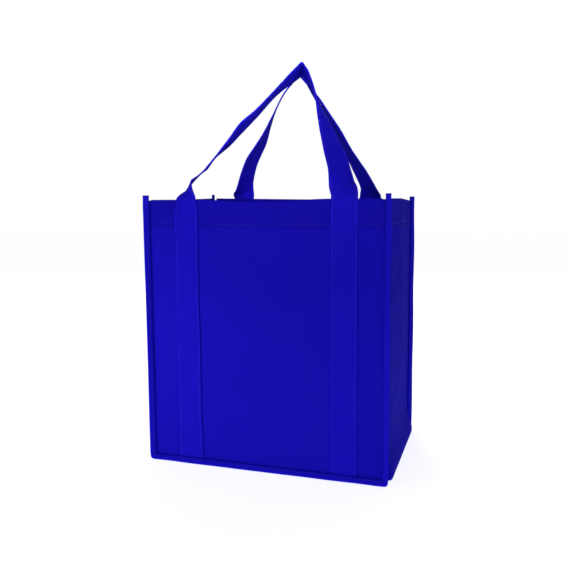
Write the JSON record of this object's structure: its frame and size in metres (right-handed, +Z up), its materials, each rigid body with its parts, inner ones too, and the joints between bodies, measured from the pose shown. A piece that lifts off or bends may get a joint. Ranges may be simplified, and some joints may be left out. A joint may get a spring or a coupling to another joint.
{
  "type": "reusable non-woven carrier bag",
  "caption": "Open-topped box-shaped carrier bag of non-woven cloth with bound seams, side gussets, two long strap handles and a base board.",
  "frame": {"origin": "middle of the footprint, at the floor that the bag stands on", "axes": "+X along the width, to the right of someone facing the front; -Y out of the front panel; +Z up"},
  "size_m": [0.3166, 0.2186, 0.5159],
  "materials": {
    "cloth": "matte non-woven polypropylene with a fine point-bonded dimple pattern",
    "tape": "matte non-woven binding tape",
    "board": "satin"
  },
  "bodies": {
    "root": {"front_panel": "cloth", "back_panel": "cloth", "gusset": "cloth", "front_binding": "tape", "back_binding": "tape", "front_handle": "cloth", "back_handle": "cloth", "bottom_board": "board"}
  },
  "joints": []
}
